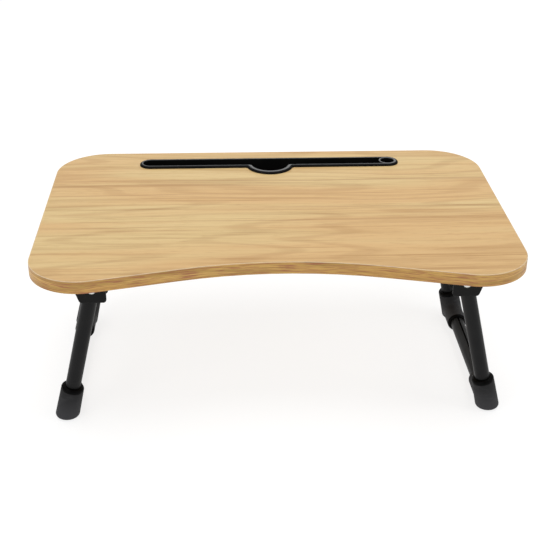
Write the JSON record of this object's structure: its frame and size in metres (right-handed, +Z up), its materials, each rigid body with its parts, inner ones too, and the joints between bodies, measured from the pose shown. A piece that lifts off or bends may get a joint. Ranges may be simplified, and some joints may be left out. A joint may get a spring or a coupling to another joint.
{
  "type": "bed tray table",
  "caption": "Low bed tray table: wood-grain board with a hollowed front edge, a tablet slot with a pen cup, and tubular U-shaped legs that fold flat under it.",
  "frame": {"origin": "on the floor, under the middle of the board's length and depth", "axes": "+Z up, +X along the board's length, -Y towards the person who uses it, where the front edge is hollowed"},
  "size_m": [0.6, 0.3999, 0.2212],
  "materials": {
    "oak_laminate": "satin wood-grain laminate",
    "oak_backing": "matt wood-grain laminate",
    "oak_edge_band": "satin wood-grain edge band",
    "particle_board": "raw pressed chips",
    "black_plastic": "fine moulded texture",
    "bracket_plastic": "fine moulded texture",
    "foot_plastic": "fine moulded texture",
    "plug_nylon": "smooth moulded nylon",
    "black_tube": "satin black powder coat",
    "bright_rivet": "nickel plated",
    "zinc_washer": "zinc plated",
    "zinc_screw": "zinc plated"
  },
  "bodies": {
    "tray": {"board_core": "particle_board", "top_laminate": "oak_laminate", "backing_laminate": "oak_backing", "edge_band": "oak_edge_band", "slot_insert": "black_plastic", "front_left_hinge_bracket": "bracket_plastic", "front_left_bracket_screws": "zinc_screw", "front_left_pivot_rivet": "bright_rivet", "front_left_rivet_washer": "zinc_washer", "rear_left_hinge_bracket": "bracket_plastic", "rear_left_bracket_screws": "zinc_screw", "rear_left_pivot_rivet": "bright_rivet", "rear_left_rivet_washer": "zinc_washer", "front_right_hinge_bracket": "bracket_plastic", "front_right_bracket_screws": "zinc_screw", "front_right_pivot_rivet": "bright_rivet", "front_right_rivet_washer": "zinc_washer", "rear_right_hinge_bracket": "bracket_plastic", "rear_right_bracket_screws": "zinc_screw", "rear_right_pivot_rivet": "bright_rivet", "rear_right_rivet_washer": "zinc_washer"},
    "left_leg": {"left_floor_bar": "black_tube", "front_left_upright": "black_tube", "front_left_pivot_plug": "plug_nylon", "front_left_elbow_foot": "foot_plastic", "rear_left_upright": "black_tube", "rear_left_pivot_plug": "plug_nylon", "rear_left_elbow_foot": "foot_plastic"},
    "right_leg": {"right_floor_bar": "black_tube", "front_right_upright": "black_tube", "front_right_pivot_plug": "plug_nylon", "front_right_elbow_foot": "foot_plastic", "rear_right_upright": "black_tube", "rear_right_pivot_plug": "plug_nylon", "rear_right_elbow_foot": "foot_plastic"}
  },
  "joints": [
    {"name": "left_leg_fold", "type": "hinge", "parent": "tray", "child": "left_leg", "pos_m": [-0.2255, 0, 0.186], "axis": [0, -1, 0], "range_deg": [0, 103.5]},
    {"name": "right_leg_fold", "type": "hinge", "parent": "tray", "child": "right_leg", "pos_m": [0.2255, 0, 0.186], "axis": [0, 1, 0], "range_deg": [0, 103.5]}
  ]
}
